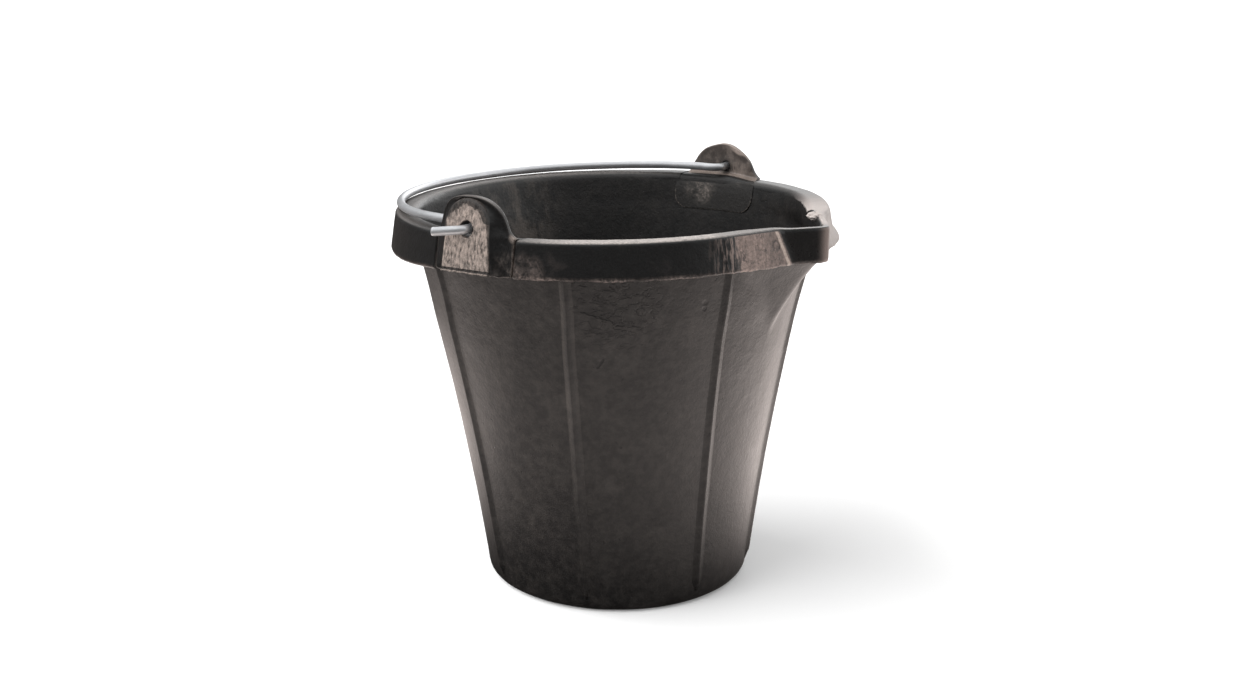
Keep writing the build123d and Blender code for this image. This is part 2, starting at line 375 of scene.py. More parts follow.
def cup_tree(material, sizes):
    """The cup's mould: spout drawn out, ribs set round the wall, mouth tilted, rubber uneven."""
    geometry, size = new_tree("cup_mould", sizes)
    wall = drawn_out(geometry, cup_flank, 0.15, 0.19, spout_blend)

    bar = geometry.node("GeometryNodeMeshCylinder", {"Vertices": 52, "Side Segments": 66, "Radius": 1.0,
                                                     "Depth": 1.0})
    x, y, z = placed(bar)
    aside = ((y * y + rib_round).root() - rib_crest) / rib_span
    fillet = {"Geometry": bar, "Name": "fillet", "Value": aside.between(0.20, 0.55, 0.75, 1.0)}
    bar = geometry.node("GeometryNodeStoreNamedAttribute", fillet, {"data_type": "FLOAT", "domain": "POINT"})
    share = z + 0.5
    taper = 0.25 + 0.75 * share.step(0, 0.035)
    height = size["Rib foot"] + (size["Rib top"] - size["Rib foot"]) * share
    pinch = (1 - aside).at_least(0) ** 1.5
    proud = x.math("GREATER_THAN", 0.01) * (pinch * size["Rib height"] * taper + rib_skirt) - rib_sink
    rib = moved(bar, wall_radius(height) + proud, y * size["Rib width"] * taper, height)
    down = geometry.node("ShaderNodeCombineXYZ", {2: size["Rib top"] * -1})
    rib = geometry.node("GeometryNodeTransform", {"Geometry": rib, "Translation": down})

    seats = geometry.node("GeometryNodeMeshCircle", {"Vertices": rib_count, "Radius": 1.0})
    seats = moved(seats, 0, 0, size["Rib top"])
    number = geometry.node("GeometryNodeInputIndex")
    lean = number.math("COMPARE", rib_count - 1, 0.5) * rib_lean
    spin = geometry.node("ShaderNodeCombineXYZ", {0: lean, 2: (number + 0.5) * (2 * pi / rib_count)})
    ribs = geometry.node("GeometryNodeInstanceOnPoints", {"Points": seats, "Instance": rib,
                                                          "Rotation": spin})
    ribs = geometry.node("GeometryNodeRealizeInstances", {0: ribs})

    joined = geometry.node("GeometryNodeJoinGeometry", {0: wall})
    geometry.tree.links.new(ribs.socket, joined.socket.node.inputs[0])
    x, y, z = placed(joined)
    slip = (size["Slip"] - size["Lean"] * (z / mouth_height)) * z.step(mouth_height, 0.245)
    slip = slip + z.between(0.200, 0.236, 0.250, 0.275) * size["Shoulder"]
    joined = moved(joined, x + slip * askew[0], y + slip * askew[1], z)
    joined = tilted(joined, size["Climb"], size["Sag"])
    low = placed(joined)[2].step(0.272, 0.245)
    joined = uneven(joined, size["Lumps"], 16, 3.0, low)
    joined = uneven(joined, size["Lumps"] * 0.25, 75, 8.0, low)
    return close_tree(joined, material)


def new_finish(name):
    """A new material, its Principled shader and its place on the piece, ready for its own detail."""
    material = bpy.data.materials.new(name)
    material.use_nodes = True
    shader = material.node_tree.nodes["Principled BSDF"]
    shader.inputs["IOR"].default_value = 1.5
    coords = material.node_tree.nodes.new("ShaderNodeTexCoord")
    return material, shader, Flow(material.node_tree, coords.outputs["Object"])


def nearby(place, middle, reach):
    """1 at a place on the piece, falling to 0 at a reach from it."""
    return place.vector("DISTANCE", middle, "Value").step(reach, reach * 0.3)


def stroke(place, start, end, reach):
    """1 along a straight scratch on the piece, falling to 0 at a reach from it."""
    line = Vector(end) - Vector(start)
    spoke = place.vector("SUBTRACT", start)
    share = spoke.along(line / line.length_squared).at_least(0).at_most(1)
    foot = spoke.node("ShaderNodeVectorMath", {0: line, "Scale": share}, {"operation": "SCALE"})
    return spoke.vector("DISTANCE", foot, "Value").step(reach, reach * 0.4)


def coat(shader, colour, roughness, height, depth):
    """Links colour and roughness to the shader, and the height through a Bump node of this depth."""
    roughness = roughness.at_most(1).at_least(0.05)
    bump = height.node("ShaderNodeBump", {"Height": height, "Distance": depth, "Strength": 1.0})
    for key, flow in (("Base Color", colour), ("Roughness", roughness), ("Normal", bump)):
        flow.tree.links.new(flow.socket, shader.inputs[key])


def mark(place, name):
    """A value that the mesh carries under a name."""
    return place.node("ShaderNodeAttribute", {}, {"attribute_name": name}, out="Fac")


def cup_rubber():
    """Mottled black rubber: dull brown blotches, rubbed scuffs, folds under the rim and pits, with painted
    shade and highlights.
    """
    material, shader, place = new_finish("cup_rubber")
    x, y, z = place.parts()
    turn = y.math("ARCTAN2", x)
    blotch = place.noise(24, 5, 1.0, 0.62)
    cloud = place.noise(9, 3, 2.0)
    grain = place.noise(520, 3, 4.0, 0.6)
    leather = place.noise(170, 4, 7.0, 0.62)
    rubbed = place.noise(38, 6, 5.0, 0.7).step(0.54, 0.70)
    inside = mark(place, "inset").step(0, 0.0006)

    swung = turn + radians(54)
    wobble = (place.noise(60, 3, 8.0) - 0.5) * 0.011
    # Painted shade: a fold, a crack and creases under the rim show dark; they are also bumped in.
    fold = (z + swung * 0.036 + wobble - 0.2262).absolute().step(0.0012, 0.0002)
    fold = fold * swung.between(-0.20, -0.10, 0.06, 0.15)
    crack = (swung * 0.14 - 0.0166 + wobble).absolute().step(0.0012, 0.0002)
    crack = crack * z.between(0.221, 0.232, 0.242, 0.257)
    creases = (place.noise(95, 3, 12.0, 0.55, (1, 1, 1.5)) - 0.5).absolute().step(0.045, 0.005)
    creases = creases * nearby(place, (0.082, -0.1129, 0.2370), 0.046) * (1 - inside)
    folds = (fold * 0.5 + crack * 0.3) * (1 - inside) + creases * 0.5
    # Painted shade: pits, two spots and a scratch show dark; they are also bumped in.
    spots = nearby(place, (0.1220, -0.0673, 0.2360), 0.0030)
    spots = spots + nearby(place, (0.1211, -0.0670, 0.2320), 0.0026)
    spots = spots + stroke(place, (0.0703, -0.1108, 0.1986), (0.0664, -0.1118, 0.1930), 0.0013)
    pits = (place.noise(260, 2, 6.0).step(0.30, 0.24) + spots).at_most(1)
    # Painted highlight: pale lines on the fillets beside one rib's crest.
    rib_highlight = mark(place, "fillet") * turn.arc(-76, -72, -63, -60) * z.step(0.05, 0.20)

    marbling = place.noise(80, 5, 9.0, 0.7, (1, 1, 0.45)).step(0.42, 0.66)
    marbling = marbling * nearby(place, (-0.130, 0.037, 0.252), 0.055) * inside
    dust = blotch.step(0.35, 0.75) * 0.52 + rubbed * 0.45 + leather.step(0.36, 0.66) * 0.58 - 0.14
    # Painted shade: the inside of the cup is kept darker.
    dust = (dust + rib_highlight * 0.7 - pits * 0.9 - folds * 0.5) * (1 - inside * 0.7)
    # Painted shade: the wall darkens towards the foot.
    dust = dust * (0.65 + z.step(0.03, 0.13) * 0.35)
    dust = (dust * 0.245 + marbling * 0.9).at_most(1).at_least(0)
    roughness = 0.32 + cloud * 0.12 + blotch * 0.10 + (leather - 0.5) * 0.12 + (grain - 0.5) * 0.10
    height = grain * 0.3 + leather * 0.45 + place.noise(60, 3, 7.5) * 0.7 - pits * 0.35 - folds * 0.55
    coat(shader, dust.colours(cup_black, cup_dust_and_highlight), roughness, height, depth=0.0007)
    return material


def spout_inset(height):
    """How far inside the spout's outer flanks the cup's inner face lies, at a height."""
    return np.interp(height, [0.257, 0.274, mouth_height], [spout_wall, spout_throat, spout_lip])


cup_corners = [(0, foot_recess, 0, 0), (recess_radius, foot_recess, cup_edge, 0),
               (recess_radius, 0, cup_edge, 0), (wall_radius(0), 0, foot_corner, 0)]
cup_corners += [(wall_radius(height), height, 0, 0) for height in np.linspace(0.012, 0.270, 80)]
cup_corners += [(wall_radius(mouth_height), mouth_height - rim_drop, cup_edge, 0),
                (inner_radius(mouth_height), mouth_height - rim_drop, rim_rounding, spout_lip)]
cup_corners += [(inner_radius(height), height, 0, spout_inset(height))
                for height in np.linspace(0.273, 0.022, 70)]
cup_corners += [(inner_radius(floor_thickness), floor_thickness, floor_corner, spout_wall),
                (0, floor_thickness, 0, spout_wall)]
cup_line = rounded_line(cup_corners, step=0.0045)
near_spout = np.radians(np.linspace(-24, 24, 90))
round_back = np.radians(np.linspace(24, 336, 215))[1:-1]
cup_turns = np.concatenate([near_spout, round_back])
cup_inset = np.tile(cup_line[:, 3], (len(cup_turns), 1))
cup_sizes = {"Rib width": rib_half_width, "Rib height": rib_height, "Rib foot": rib_foot,
             "Rib top": mouth_height - band_height + rib_tuck, "Climb": mouth_climb, "Sag": mouth_sag,
             "Slip": foot_slip, "Lean": wall_lean, "Shoulder": wall_shoulder, "Lumps": cup_lumps}
cup = skin("cup", turned(cup_line, cup_turns[:, None]), along=True, values={"inset": cup_inset})
moulded(cup, cup_tree(cup_rubber(), cup_sizes), cup_sizes)
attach(cup, "bucket")
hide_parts("bucket_body")

# Rim band: a thick rubber strip laid round the mouth in two lengths that end at the ears and are
# vulcanised to the wall. It flares to its lower edge, where the moulding's flash was left on, and
# on the spout's side it is drawn out into the nose.

band_top_radius = 0.158
band_foot_radius = 0.1623
band_edge = 0.0025
band_hem = 0.0016
band_lip_depth = 0.007
band_blend = 0.0008
band_bead = 0.0006
band_lumps = 0.0008
band_wrinkle = 0.0016
spout_side_flash = 0.0014
bail_side_flash = 0.0005
bail_side_drop = 0.0039
nose_flank = 0.1456
ear_half_width = 0.032
seam = 0.0015
flash_middle = (0.1496, 0.0285, 0.2818)
flash_size = (0.0072, 0.0045, 0.0030)

band_black = (0.0034, 0.0033, 0.0033, 1)
band_brown = (0.280, 0.205, 0.176, 1)
band_dust_and_highlight = (0.315, 0.282, 0.262, 1)
far_face_dust_and_reflection = (0.43, 0.385, 0.362, 1)
far_top_dust_and_reflection = (0.300, 0.266, 0.250, 1)
crease_highlight_colour = (0.42, 0.335, 0.285, 1)

band_sizes = {"Nose flank": nose_flank, "Drop": bail_side_drop, "Climb": mouth_climb, "Sag": mouth_sag,
              "Lumps": band_lumps, "Flash": spout_side_flash, "Wrinkle": band_wrinkle}


def band_tree(material, sizes):
    """A strip's mould: nose drawn out, mouth tilted, flow wrinkles and a ragged lower edge."""
    geometry, size = new_tree("band_mould", sizes)
    strip = drawn_out(geometry, lambda height: size["Nose flank"], 0.2, 0.21, band_blend, band_bead)
    x, y, z = placed(strip)
    strip = moved(strip, x, y, z - (mouth_height - z) / band_height * x.step(0, -0.10) * size["Drop"])
    strip = tilted(strip, size["Climb"], size["Sag"])
    x, y, z = placed(strip)
    place = geometry.node("GeometryNodeInputPosition")
    folds = place.noise(150, 2, 12.0, 0.5, (1, 1, 0.16)) - 0.5
    side = y.math("ARCTAN2", x).arc(-35, -29, -23, -16)
    radius = (x * x + y * y).root()
    push = folds * side * radius.step(0.1555, 0.157) * size["Wrinkle"]
    ragged = place.noise(190, 3, 14.0, 0.6).step(0.35, 0.75) * carried(geometry, "hem") * size["Flash"]
    grown = 1 + push / radius
    strip = moved(strip, x * grown, y * grown, z - ragged)
    strip = uneven(strip, size["Lumps"], 30, 21.0)
    strip = uneven(strip, size["Lumps"] * 0.3, 120, 22.0)
    return close_tree(strip, material)


def band_rubber():
    """Black rubber with dust and painted highlights on top, wrinkled and then brown and dull beside the
    spout's black nose.
    """
    material, shader, place = new_finish("band_rubber")
    x, y, z = place.parts()
    turn = y.math("ARCTAN2", x)
    above = place.also("Normal").parts()[2]
    streaks = place.noise(460, 3, 31.0, 0.6, (1, 1, 0.10))
    blotch = place.noise(40, 5, 32.0, 0.6)
    grain = place.noise(520, 3, 33.0, 0.65)
    speckle = ((grain - 0.5) * 2.6 + 0.5).at_most(1).at_least(0)

    past = turn + radians(12.2) - (mouth_height + x * mouth_climb - z) * 2.45
    near = turn.sweep(4, -4)
    nose = past.step(0, 0.012) * turn.sweep(17, 11)
    # Painted highlight: a pale strip down the front of the nose, where its rounding catches the light.
    tip_highlight = turn.absolute().sweep(3.4, 0.3)
    wrinkled = turn.sweep(-34, -25) * near
    brown = (turn + (streaks - 0.5) * 0.14).sweep(-26.5, -22.5) * near
    ring_place = (0.1555, -0.0357, 0.2735)
    ring = nearby(place, ring_place, 0.0050) * (1 - nearby(place, ring_place, 0.0036))
    pocked = place.noise(300, 3, 35.0, 0.6).step(0.34, 0.44)
    brown_tone = (0.34 + speckle * 0.66) * (0.40 + pocked * 0.60) * (0.75 + streaks.step(0.40, 0.58) * 0.30)
    brown_tone = brown_tone * (1 - turn.sweep(-17, -14) * 0.25)
    dull = wrinkled * (1 - brown) * streaks.step(0.48, 0.60) * 0.42 + brown * (brown_tone - ring * 0.3)
    dull = dull * (1 - nose) + tip_highlight * tip_highlight * 0.5
    dull = dull + nearby(place, (0.042, -0.1555, 0.2625), 0.015) * blotch.step(0.36, 0.58) * speckle * 0.38
    flash = mark(place, "hem") * (0.25 + grain.step(0.42, 0.6) * 0.75)
    flash = flash * (0.12 + blotch.step(0.42, 0.62) * 0.5)
    dull = dull * above.step(0.6, 0.3) + flash + blotch.step(0.55, 0.8) * (1 - nose) * 0.05
    dull = dull.at_most(1)
    colour = dull.colours(band_black, band_brown)

    # Upward faces are paler: dust, with a painted highlight along the near rim top and at the back.
    near_top = turn.arc(-82, -62, -6, 2) * 0.70 * (1 - turn.sweep(-32, -25) * 0.6)
    back_top = turn.absolute().sweep(105, 125) * 0.14
    top_dust_and_highlight = above.step(0.55, 0.95) * (0.06 + near_top + back_top) * (0.40 + speckle * 1.1)
    pale = (top_dust_and_highlight + mark(place, "lobe") * (0.40 + speckle * 0.5)).at_most(1)
    colour = pale.colours(colour, band_dust_and_highlight)

    # The far lip and its outer face: dust and a painted reflection of the bright studio behind.
    outer = mark(place, "inset").step(0.0046, 0.0024).at_least(above.step(0.15, 0.45))
    upper = above.step(0.1, 0.5)
    far_face = turn.sweep(5, 20) * (0.50 + blotch.step(0.36, 0.58) * 0.50)
    far_lip = upper * turn.sweep(-1, 4) + (1 - upper) * far_face
    far_lip = far_lip * turn.sweep(58, 24) * outer * (0.62 + speckle * 0.22 + blotch * 0.20)
    grown = nearby(place, (0.1515, 0.0300, 0.2835), 0.0100) * z.step(0.2785, 0.2803)
    far_lip = far_lip.at_least(grown * 0.85).at_most(1)
    colour = far_lip.colours(colour, above.step(0.1, 0.8).colours(far_face_dust_and_reflection, far_top_dust_and_reflection))
    # Painted highlight: a pale line on the bead in the crease beside the nose.
    crease = past.between(-0.018, -0.012, -0.004, 0.002) * near
    crease = crease * above.step(0.6, 0.3) * (0.5 + speckle * 0.5)
    colour = crease.colours(colour, crease_highlight_colour)
    roughness = 0.30 + blotch * 0.12 + (grain - 0.5) * 0.14 - nose * 0.06
    roughness = roughness + (dull + pale + far_lip).at_most(1) * 0.4
    height = grain * 0.4 + blotch * 0.5 + streaks * wrinkled * (1 - brown) * 1.2
    height = height + brown * (1 - nose) * (speckle * 0.3 - ring * 0.8)
    coat(shader, colour, roughness, height, depth=0.0006)
    return material


def ramp(value, low, high):
    """0 below low, 1 above high and a straight change between; falls if high is below low."""
    return np.clip((value - low) / (high - low), 0, 1)


def band_strip(name, middle, turns, flash, tree):
    """One length of the band about the angle middle, its ends square to the ears."""
    inner_top = inner_radius(mouth_height)
    corners = [(band_foot_radius, -band_height, band_hem, 0), (band_top_radius, 0, band_edge, 0),
               (inner_top - 0.0003, 0, rim_rounding, 0.0052),
               (inner_top - 0.0013, -band_lip_depth, 0, 0.0058),
               (inner_top + 0.002, -band_lip_depth, 0, 0.0045),
               (0.1415, -0.0225, 0, 0.0080), (0.1433, -band_height, 0, 0.0074)]
    line = rounded_line(corners, step=0.0011, closed=True)
    from_hem = np.hypot((line[:, 0] - band_foot_radius) / 0.0035, (line[:, 1] + band_height) / 0.0025)
    line[:, 1] += mouth_height
    ends = np.arcsin((ear_half_width + seam) / line[:, 0])
    grid = turned(line, middle + np.outer(turns, pi / 2 - ends))
    flat = np.ones((len(turns), 1))
    values = {"inset": flat * line[:, 3], "hem": flat * ramp(from_hem, 1, 0)}
    strip = skin(name, grid, across=True, caps=True, values=values)
    moulded(strip, tree, {**band_sizes, "Flash": flash})
    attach(strip, "bucket")
    return strip


band_mould = band_tree(band_rubber(), band_sizes)
spout_turns = np.linspace(-1, 1, 420)
spout_turns = np.sign(spout_turns) * np.abs(spout_turns) ** 1.15
spout_strip = band_strip("spout_strip", 0, spout_turns, spout_side_flash, band_mould)
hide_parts("rim_band_spout_side")
bail_strip = band_strip("bail_strip", pi, np.linspace(-1, 1, 260), bail_side_flash, band_mould)
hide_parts("rim_band_bail_side")


def rough(grid, scale, shift):
    """Noise from -1 to 1 at every point of a grid, with features of about 1 / scale."""
    return np.array([[noise.noise(Vector(p) * scale + Vector(shift)) for p in row] for row in grid])


def flash_lobe(material):
    """A torn lobe of moulding flash that hangs from the far lip of the spout into its channel."""
    rise = np.linspace(-pi / 2, pi / 2, 30)
    ball = turned(np.stack([np.cos(rise), np.sin(rise)], axis=-1), np.linspace(0, 2 * pi, 61)[:-1, None])
    ball = ball.swapaxes(0, 1)
    torn = 1 + 0.24 * rough(ball, 2.1, (4, 1, 7)) + 0.08 * rough(ball, 6, (0, 0, 0))
    x, y, z = np.moveaxis(ball * torn[:, :, None] * flash_size, -1, 0)
    along_x, along_y = cos(-spout_spread / 2), sin(-spout_spread / 2)
    grid = np.stack([x * along_x - y * along_y, x * along_y + y * along_x, z], axis=-1) + flash_middle
    paleness = ramp(ball[:, :, 2], -0.20, 0.20)
    return skin("spout_flash", grid, across=True, values={"lobe": paleness}, material=material)


spout_flash = flash_lobe(spout_strip.data.materials[0])
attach(spout_flash, "bucket")

# Ears: two bell-shaped rubber tabs laid over the rim and vulcanised on, each with a thick boss
# round the hole that the bail turns in. Their faces are pebbled and pale with dust.

ear_inner = 0.154
ear_foot = 0.0006 - band_height
ear_flare = 0.0065
ear_flare_rise = 0.0032
ear_root = 0.1547
ear_lean = tan(radians(8))
bell_edge_in = 0.0012
bell_edge_out = 0.0010
hole_height = 0.006
hole_radius = 0.005
hole_squeezed = 0.0037
hole_edge_in = 0.0010
hole_edge_out = 0.0009
boss_radius = 0.018
boss_foot = 0.0203
boss_low = ear_foot + 0.0012
boss_proud = 0.0095
boss_lip = 0.001
boss_margin = 0.0006

ear_black = (0.0038, 0.0036, 0.0036, 1)
ear_dust_and_highlight = (0.225, 0.180, 0.155, 1)


def smooth(value, low, high):
    """As ramp, with a smooth change."""
    share = ramp(value, low, high)
    return share ** 2 * (3 - 2 * share)


def bell_width(height, top, arch, square):
    """Half width of the bell at heights above the mouth: a squared arch on a flared foot."""
    up = np.clip(height, 0, top)
    bow = arch * (1 - (up / top) ** square) ** (1 / square)
    return np.where(height > 0, bow + ear_flare * np.exp(-up / ear_flare_rise) * ramp(up, top, 0),
                    ear_half_width)


def polar_outline(across, up, angles):
    """Distance from the hole's middle to a closed outline, at every angle."""
    spoke = np.arctan2(up - hole_height, across)
    reach = np.hypot(across, up - hole_height)
    order = np.argsort(spoke)
    return np.interp(angles, spoke[order], reach[order], period=2 * pi)


def ear_outlines(top, arch, square):
    """Angles round the hole, and how far the bell and the boss reach at each."""
    up = np.concatenate([np.linspace(ear_foot, -0.0002, 40), top * np.sin(np.linspace(0, pi / 2, 90))])
    width = bell_width(up, top, arch, square)
    width[-1] = 0
    bell_across = np.concatenate([np.linspace(-ear_half_width, ear_half_width, 60), width, -width[::-1]])
    bell_up = np.concatenate([np.full(60, ear_foot), up, up[::-1]])
    boss_middle = top - boss_lip - boss_radius
    swing = np.linspace(0, pi, 80)
    side_across = np.linspace(boss_foot, boss_radius, 40)
    side_up = np.linspace(boss_low, boss_middle, 40)
    boss_across = np.concatenate([np.linspace(-boss_foot, boss_foot, 40), side_across,
                                  boss_radius * np.cos(swing), -side_across[::-1]])
    boss_up = np.concatenate([np.full(40, boss_low), side_up,
                              boss_middle + boss_radius * np.sin(swing), side_up[::-1]])
    corners = np.arctan2(ear_foot - hole_height, [-ear_half_width, ear_half_width, -boss_foot, boss_foot])
    angles = np.sort(np.concatenate([np.linspace(-pi, pi, 401)[:-1], corners]))
    bell = polar_outline(bell_across, bell_up, angles)
    boss = np.minimum(polar_outline(boss_across, boss_up, angles), bell - boss_margin)
    return angles, bell, boss


def on_mouth(across, up, out, side):
    """Places points given across, above the mouth and outwards on the front (-1) or rear (+1) side."""
    lean = np.arctan(mouth_climb)
    return np.stack([across * np.cos(lean) - up * np.sin(lean), side * out,
                     mouth_height + across * np.sin(lean) + up * np.cos(lean)], axis=-1)


def quarter(first, last, count):
    """Shares of a quarter turn, each with how far it has bent away and how far it has still to go."""
    for share in np.linspace(first, last, count):
        yield share, 1 - np.cos(share * pi / 2), 1 - np.sin(share * pi / 2)


def ear(name, material, side, top, arch, square, drift, lop, slump, bore, seed):
    """One ear as rings round its hole: inner face, bell edge, flank, boss face and hole."""
    angles, bell, boss = ear_outlines(top, arch, square)
    soft = np.interp(hole_height + boss * np.sin(angles), [ear_foot + 0.001, ear_foot + 0.004, 0.002, 0.016],
                     [0.0005, 0.0014, 0.0014, 0.0026])
    window = np.hanning(29)
    eased = np.convolve(np.concatenate([bell[-14:], bell, bell[:14]]), window / window.sum(), "valid")
    torn = np.array([noise.noise(Vector((cos(a), sin(a), seed)) * 2.2) for a in angles])
    hole = bore * (1 + 0.12 * torn)
    rings, marks = [], []

    def ring(reach, out_at, inner=0, edge=0, boss_face=0):
        across = reach * np.cos(angles)
        up = hole_height + reach * np.sin(angles)
        slide = lop * across * ramp(up, 0, 0.004) * ramp(-across, 0.006, 0.014)
        slide = slide + drift * ramp(up, 0.011, 0.021)
        rings.append(on_mouth(across + slide, up, out_at(across, up), side))
        rub = ramp(boss - reach, 0.0080, 0) * ramp(up, 0.008, 0.017)
        flat = np.ones_like(reach)
        marks.append([flat * inner, flat * edge, flat * boss_face, rub, ramp(up - ear_foot, 0.0050, 0)])

    def inner_face(across, up):
        return np.sqrt(ear_inner ** 2 - across ** 2) - 0.007 * smooth(up, 0.0012, -0.0018)

    def rim(across, up):
        thick = np.interp(up, [0, 0.004, 0.008, 0.014, 0.019, top],
                          [0.0042, 0.0036, 0.0033, 0.0034, 0.0040, 0.0056])
        tab = np.sqrt(ear_inner ** 2 - across ** 2) + thick
        flare = (band_foot_radius - band_top_radius) * np.clip(-up, 0, 1) / band_height
        skirt = np.sqrt((band_top_radius + flare) ** 2 - across ** 2) + 0.0004
        return skirt + (tab - skirt) * smooth(up, -0.005, 0.006)

    def face(across, up):
        lip = ramp(np.abs(up - ear_foot - 0.0016), 0.0008, 0)
        return ear_root + boss_proud - ear_lean * up + 0.0010 * lip

    for share, bent, left in quarter(0.05, 0.9, 4):
        ring(hole + hole_edge_in * bent, lambda a, u: inner_face(a, u) + hole_edge_in * left, share)
    for share in np.linspace(0, 1, 22):
        ring(hole + hole_edge_in + (bell - bell_edge_in - hole_edge_in - hole) * share, inner_face, 1)
    for share, bent, left in quarter(0.15, 1, 4):
        ring(bell - bell_edge_in * left, lambda a, u: inner_face(a, u) + bell_edge_in * bent,
             1 - share, share)
    for share in np.linspace(0.2, 0.8, 4):
        ring(bell, lambda a, u: inner_face(a, u) + bell_edge_in
             + (rim(a, u) - bell_edge_out - bell_edge_in - inner_face(a, u)) * share,
             0, share ** np.where(np.sin(angles) > -0.2, 3, 10))
    for share, bent, left in quarter(0, 0.85, 4):
        ring(bell - bell_edge_out * bent, lambda a, u: rim(a, u) - bell_edge_out * left, 0, 1 - share)
    for share in np.linspace(0.04, 1, 26):
        outline = bell + (eased - bell) * min(share / 0.4, 1) - bell_edge_out
        ring(np.maximum(outline + (boss - outline) * share, boss),
             lambda a, u: rim(a, u) + (face(a, u) - soft - rim(a, u)) * share ** 1.9)
    for share, bent, left in quarter(0.15, 1, 7):
        ring(boss - soft * bent, lambda a, u: face(a, u) - soft * left, 0, 0, share)
    for share in np.linspace(0.03, 1, 60):
        ring(boss - soft + (hole + hole_edge_out - boss + soft) * share, face, 0, 0, 1)
    for share, bent, left in quarter(0.25, 1, 4):
        ring(hole + hole_edge_out * left, lambda a, u: face(a, u) - hole_edge_out * bent, 0, 0, 1 - share)
    for share in np.linspace(0.1, 0.9, 8):
        ring(hole, lambda a, u: face(a, u) - hole_edge_out
             + (inner_face(a, u) - face(a, u) + hole_edge_out + hole_edge_in) * share)

    grid = np.array(rings)
    values = dict(zip(("inner", "edge", "boss", "rub", "lip"), np.array(marks).swapaxes(0, 1)))
    fine = rough(grid, 420, (0, seed, 0)) * 0.00020 * values["boss"]
    grid[:, :, 1] += side * (rough(grid, 70, (seed, 0, 0)) * 0.00030 + fine)
    ragged = np.clip(rough(grid, 160, (0, 0, seed)) + 0.3, 0, 1)
    x, y, z = np.moveaxis(grid, -1, 0)
    z -= ragged * ramp(z - x * mouth_climb - mouth_height - ear_foot, 0.0025, 0.0005) * 0.0014
    level = z - mouth_height
    past = smooth(np.arctan2(y, x), radians(89), radians(77))
    z -= slump * past * ramp(level, 0.009, 0) * ramp(level, -0.021, 0)
    made = skin(name, grid, across=True, along=True, values=values, material=material)
    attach(made, "bucket")
    return made


def ear_rubber():
    """Black rubber; the boss is pebbled, pale with dust and rubbed dark round its arch, with painted
    highlights and shade.
    """
    material, shader, place = new_finish("ear_rubber")
    x, y, z = place.parts()
    above = place.also("Normal").parts()[2]
    boss, inner, edge, rub, lip = (mark(place, key) for key in ("boss", "inner", "edge", "rub", "lip"))
    rear = y.step(0.05, 0.10)
    blotch = place.noise(110, 4, 41.0, 0.65)
    grain = place.noise(560, 3, 42.0, 0.6, (1, 1, 0.42))
    fine = place.noise(1100, 2, 44.0)
    speckle = ((grain - 0.5) * 3.4 + 0.52).at_most(1).at_least(0)
    # Painted shade on the upper right of the boss, where it rounds away from the light; it is mixed in with
    # the rubbed wear.
    shoulder_shade = nearby(place, (0.0170, -0.163, 0.2975), 0.0085)
    wear_and_shade = rub * 1.6 + shoulder_shade * 0.8 + (blotch - 0.5) * 1.7 + (speckle - 0.5) * 0.35
    wear_and_shade = wear_and_shade.step(0.55, 0.80)
    # Painted shade round the rear ear's hole: no dust there, and rougher.
    rear_hole_shade = nearby(place, (0, 0.1545, 0.2870), 0.0085)
    # Painted shade: a dark line in the groove just above the lip at the ear's foot.
    line = lip.between(0.20, 0.28, 0.54, 0.60)
    paleness = boss * (1 - wear_and_shade * (0.95 - speckle * 0.12)) * (0.16 + speckle * 0.94) * (1 - line * 0.9)
    paleness = paleness * (1 - z.step(0.272, 0.261) * 0.16)

    # Painted highlights: upward faces, most on the rear ear's arch, the bell edge and the lower edges by the
    # seams.
    highlight_and_dust = edge * 0.06 + above.step(0.35, 0.9) * (0.14 + rear * z.step(0.286, 0.290) * 0.45)
    highlight_and_dust = highlight_and_dust + edge * z.step(0.2815, 0.277) * speckle * 0.7
    # Painted highlight in a spot at the front ear's right foot.
    highlight_and_dust = highlight_and_dust + nearby(place, (0.0325, -0.155, 0.2835), 0.005) * 0.5
    # Dust in a patch low on the front ear's right flank.
    highlight_and_dust = highlight_and_dust + nearby(place, (0.0276, -0.1586, 0.2641), 0.013) * blotch.step(0.45, 0.65) * speckle * 0.16
    rubs = 0.12 + blotch.step(0.42, 0.70) * 0.24
    rubs = rubs + z.step(0.2860, 0.2835) * (0.14 + x.step(0.01, -0.03) * 0.32)
    rubs = rubs + rub.step(0.7, 1.0) * rear * x.step(0.0, 0.010) * (0.5 + speckle * 0.5) * 0.8
    rubs = rubs + nearby(place, (0.010, 0.154, 0.2870), 0.010) * speckle * 0.3
    paleness = (paleness + (highlight_and_dust + inner * rubs) * (1 - boss) * (1 - rear_hole_shade)).at_most(1)
    roughness = 0.33 + paleness * 0.42 + (grain - 0.5) * 0.16 + boss * wear_and_shade * 0.18 + rear_hole_shade * 0.5
    height = (grain * 1.2 + fine * 0.3) * boss + grain * 0.25 + blotch * 0.5
    coat(shader, paleness.colours(ear_black, ear_dust_and_highlight), roughness, height, depth=0.0010)
    return material


ear_coat = ear_rubber()
front_tab = ear("front_tab", ear_coat, side=-1, top=0.0270, arch=0.0275, square=2.4, drift=0.0, lop=0.05,
                slump=0.0, bore=hole_radius, seed=3.0)
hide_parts("front_ear")
rear_tab = ear("rear_tab", ear_coat, side=1, top=0.0237, arch=0.0265, square=1.9, drift=-0.0025, lop=0.15,
               slump=rim_slump, bore=hole_squeezed, seed=11.0)
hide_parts("rear_ear")

# Ear patches: thin rubber plies pressed into the wall's inner face behind each ear, to spread
# the ear's pull. Their outline shows as a low step with rounded lower corners.

